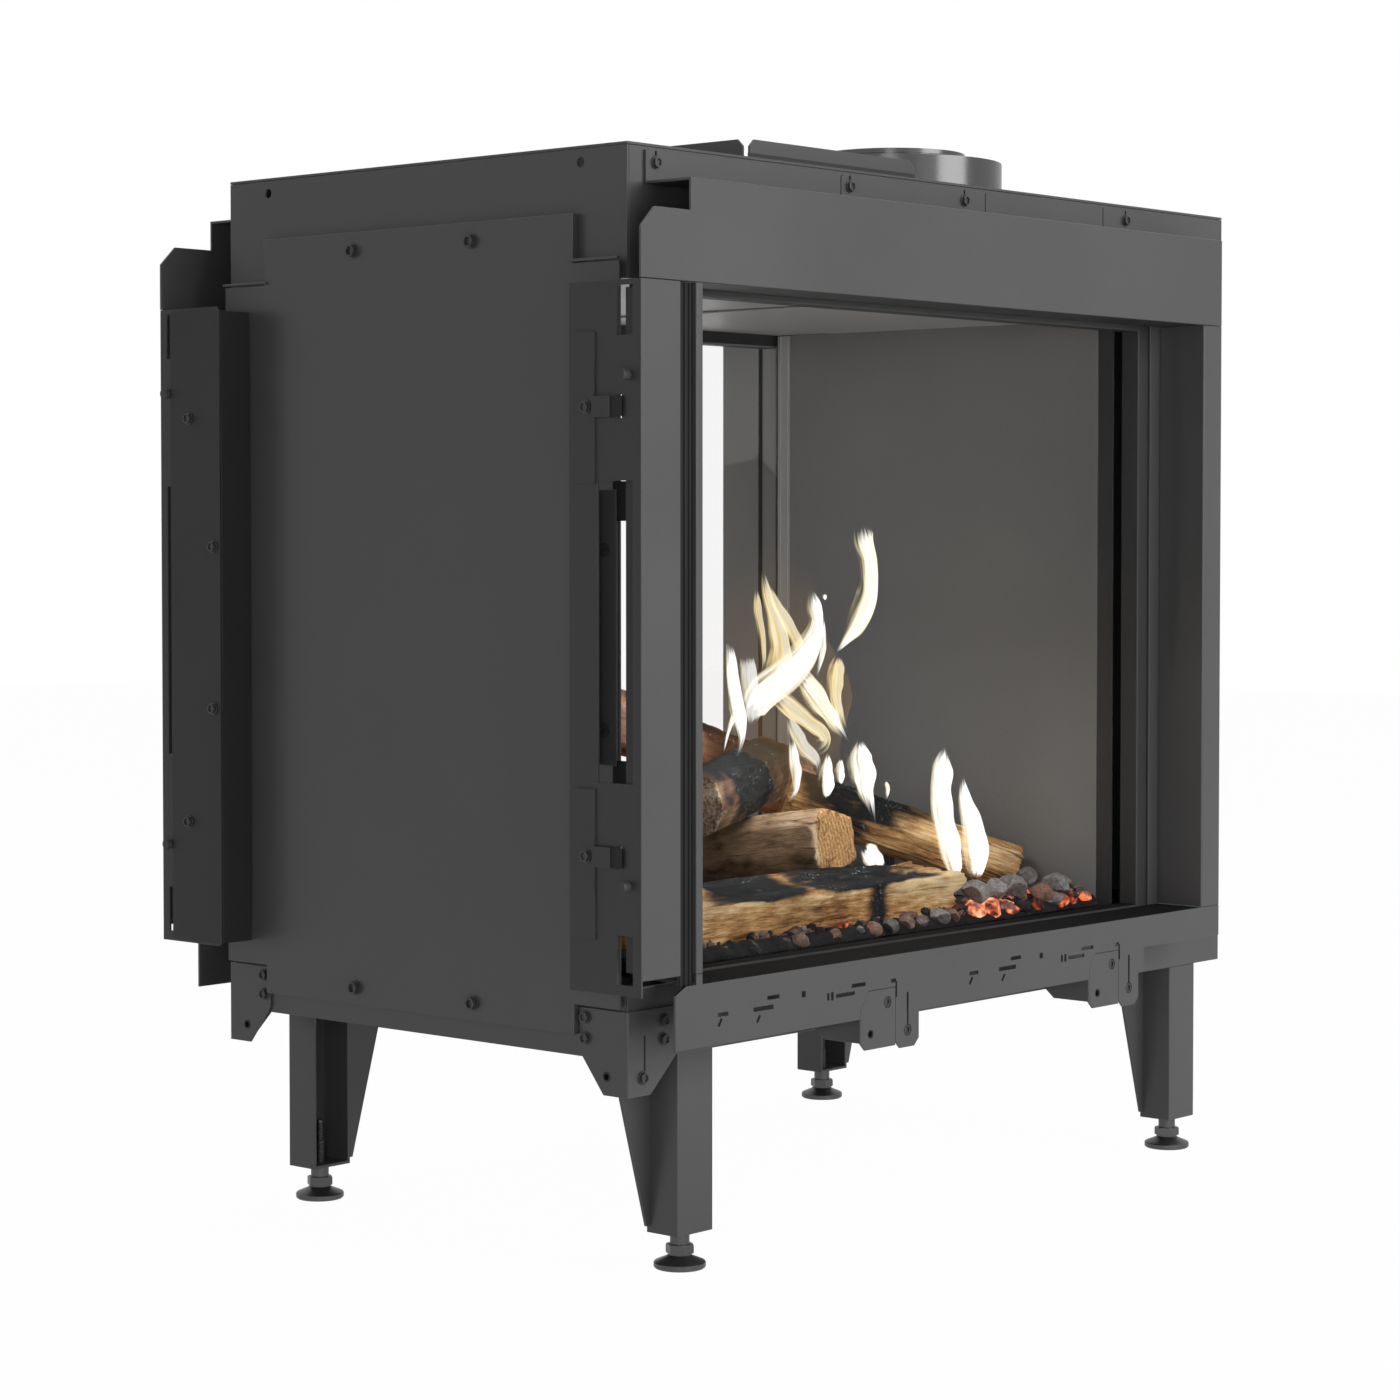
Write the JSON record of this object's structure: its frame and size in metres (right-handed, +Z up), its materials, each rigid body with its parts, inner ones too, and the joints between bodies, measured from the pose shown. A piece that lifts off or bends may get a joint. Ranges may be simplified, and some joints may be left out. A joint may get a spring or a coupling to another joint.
{
  "type": "gas fireplace",
  "caption": "See-through gas fireplace: sheet metal casing on levelling legs, log fire between a front and a back window, concentric flue and vent on top.",
  "frame": {"origin": "on the floor, under the middle of the whole outline", "axes": "+Z up; the front window faces -Y and the end with the bolted cover faces -X"},
  "size_m": [0.849, 0.534, 0.9],
  "materials": {
    "painted_steel": "matt graphite heat-proof paint",
    "liner_steel": "matt dark heat-proof paint",
    "hardware_steel": "blackened zinc plate",
    "window_glass": "clear ceramic glass",
    "log_ceramic": "moulded and painted as split logs, partly charred",
    "ember_ceramic": "rough grey and glowing pieces"
  },
  "bodies": {
    "fireplace": {"front_beam": "painted_steel", "back_beam": "painted_steel", "left_rail": "painted_steel", "right_rail": "painted_steel", "base_plate": "painted_steel", "left_side_panel": "painted_steel", "right_side_panel": "painted_steel", "front_fascia": "painted_steel", "back_fascia": "painted_steel", "top_plate": "painted_steel", "flue_outer_collar": "painted_steel", "flue_inner_spigot": "painted_steel", "firebox_deck": "liner_steel", "firebox_left_wall": "liner_steel", "firebox_right_wall": "liner_steel", "firebox_ceiling": "liner_steel", "front_pane_frame": "liner_steel", "back_pane_frame": "liner_steel", "front_header": "painted_steel", "back_header": "painted_steel", "front_left_stile": "painted_steel", "back_left_stile": "painted_steel", "front_right_stile": "painted_steel", "back_right_stile": "painted_steel", "front_sill": "painted_steel", "back_sill": "painted_steel", "front_left_bracket": "painted_steel", "back_left_bracket": "painted_steel", "front_right_bracket": "painted_steel", "back_right_bracket": "painted_steel", "back_channel_cover": "painted_steel", "cover_bolt_1": "hardware_steel", "cover_bolt_2": "hardware_steel", "cover_bolt_3": "hardware_steel", "cover_bolt_4": "hardware_steel", "left_side_cover": "painted_steel", "front_corner_bracket": "painted_steel", "back_corner_bracket": "painted_steel", "front_left_leg": "painted_steel", "back_left_leg": "painted_steel", "front_right_leg": "painted_steel", "back_right_leg": "painted_steel", "burner": "hardware_steel", "pilot": "hardware_steel", "gas_pipe": "hardware_steel", "front_log": "log_ceramic", "crossing_log": "log_ceramic", "back_log": "log_ceramic", "charred_log": "log_ceramic", "right_log": "log_ceramic", "rear_upper_log": "log_ceramic", "ember_bed": "ember_ceramic"},
    "front_pane": {"front_pane": "window_glass"},
    "back_pane": {"back_pane": "window_glass"},
    "front_left_foot": {"front_left_foot": "hardware_steel"},
    "back_left_foot": {"back_left_foot": "hardware_steel"},
    "front_right_foot": {"front_right_foot": "hardware_steel"},
    "back_right_foot": {"back_right_foot": "hardware_steel"}
  },
  "joints": [
    {"name": "front_pane_lift", "type": "slide", "parent": "fireplace", "child": "front_pane", "axis": [0, 0, 1], "range_m": [0, 0.008]},
    {"name": "back_pane_lift", "type": "slide", "parent": "fireplace", "child": "back_pane", "axis": [0, 0, 1], "range_m": [0, 0.008]},
    {"name": "front_left_foot_level", "type": "slide", "parent": "fireplace", "child": "front_left_foot", "axis": [0, 0, 1], "range_m": [-0.02, 0]},
    {"name": "back_left_foot_level", "type": "slide", "parent": "fireplace", "child": "back_left_foot", "axis": [0, 0, 1], "range_m": [-0.02, 0]},
    {"name": "front_right_foot_level", "type": "slide", "parent": "fireplace", "child": "front_right_foot", "axis": [0, 0, 1], "range_m": [-0.02, 0]},
    {"name": "back_right_foot_level", "type": "slide", "parent": "fireplace", "child": "back_right_foot", "axis": [0, 0, 1], "range_m": [-0.02, 0]}
  ]
}
